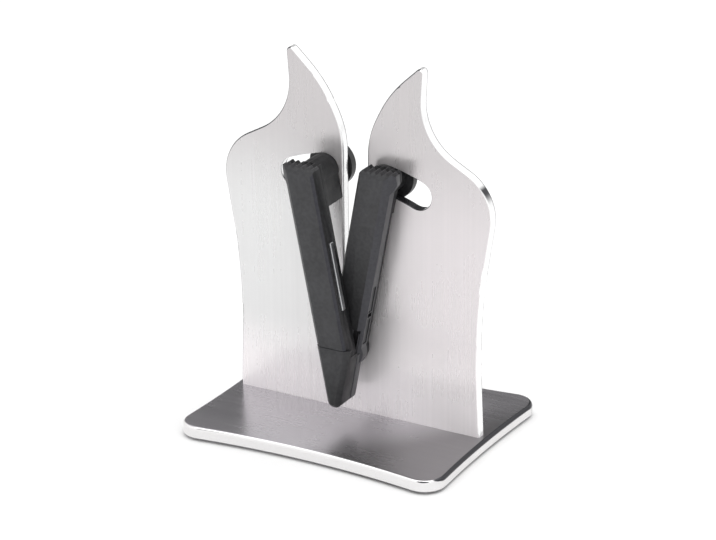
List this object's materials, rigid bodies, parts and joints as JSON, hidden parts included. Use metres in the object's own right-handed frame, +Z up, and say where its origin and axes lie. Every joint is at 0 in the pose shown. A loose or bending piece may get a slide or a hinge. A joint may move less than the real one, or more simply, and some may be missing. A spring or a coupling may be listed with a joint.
{
  "type": "pull-through knife sharpener",
  "caption": "Free-standing pull-through knife sharpener: a horned steel plate on a waisted base with two sprung sharpening arms crossed in front of a knife gap.",
  "frame": {"origin": "bottom centre of the bounding box", "axes": "+Z up along the upright plate, +Y from the front (arm side) to the rear, +X to the viewer's right, across the plate"},
  "size_m": [0.1214, 0.0912, 0.1574],
  "materials": {
    "brushed_steel": "brushed",
    "base_steel": "brushed",
    "bright_steel": "satin",
    "spring_steel": "satin",
    "black_plastic": "matte",
    "carbide": "satin",
    "rubber": "matte"
  },
  "bodies": {
    "stand": {"anti_slip_pad": "rubber", "base_plate": "base_steel", "base_screws": "bright_steel", "upright_plate": "brushed_steel", "pivot_pin": "bright_steel", "pivot_spacer": "black_plastic", "pivot_washer": "bright_steel", "pivot_cap_nut": "bright_steel", "return_spring": "spring_steel"},
    "left_arm": {"left_tip_cap": "black_plastic", "left_arm_shell": "black_plastic", "left_arm_back": "black_plastic", "left_arm_screws": "bright_steel", "left_carbide_bar": "carbide", "left_pivot_bush": "bright_steel", "left_guide_bush": "black_plastic", "left_guide_disc": "black_plastic", "left_guide_screw": "bright_steel"},
    "right_arm": {"right_arm_shell": "black_plastic", "right_arm_back": "black_plastic", "right_arm_screws": "bright_steel", "right_carbide_bar": "carbide", "right_pivot_bush": "bright_steel", "right_guide_bush": "black_plastic", "right_guide_disc": "black_plastic", "right_guide_screw": "bright_steel"}
  },
  "joints": [
    {"name": "left_arm_swing", "type": "hinge", "parent": "stand", "child": "left_arm", "pos_m": [0, 0, 0.0365], "axis": [0, -1, 0], "range_deg": [0, 11.5], "stiffness_Nm_per_rad": 0.6, "springref_deg": -17.19},
    {"name": "right_arm_swing", "type": "hinge", "parent": "stand", "child": "right_arm", "pos_m": [0, 0, 0.0365], "axis": [0, 1, 0], "range_deg": [0, 11.5], "stiffness_Nm_per_rad": 0.6, "springref_deg": -17.19}
  ]
}
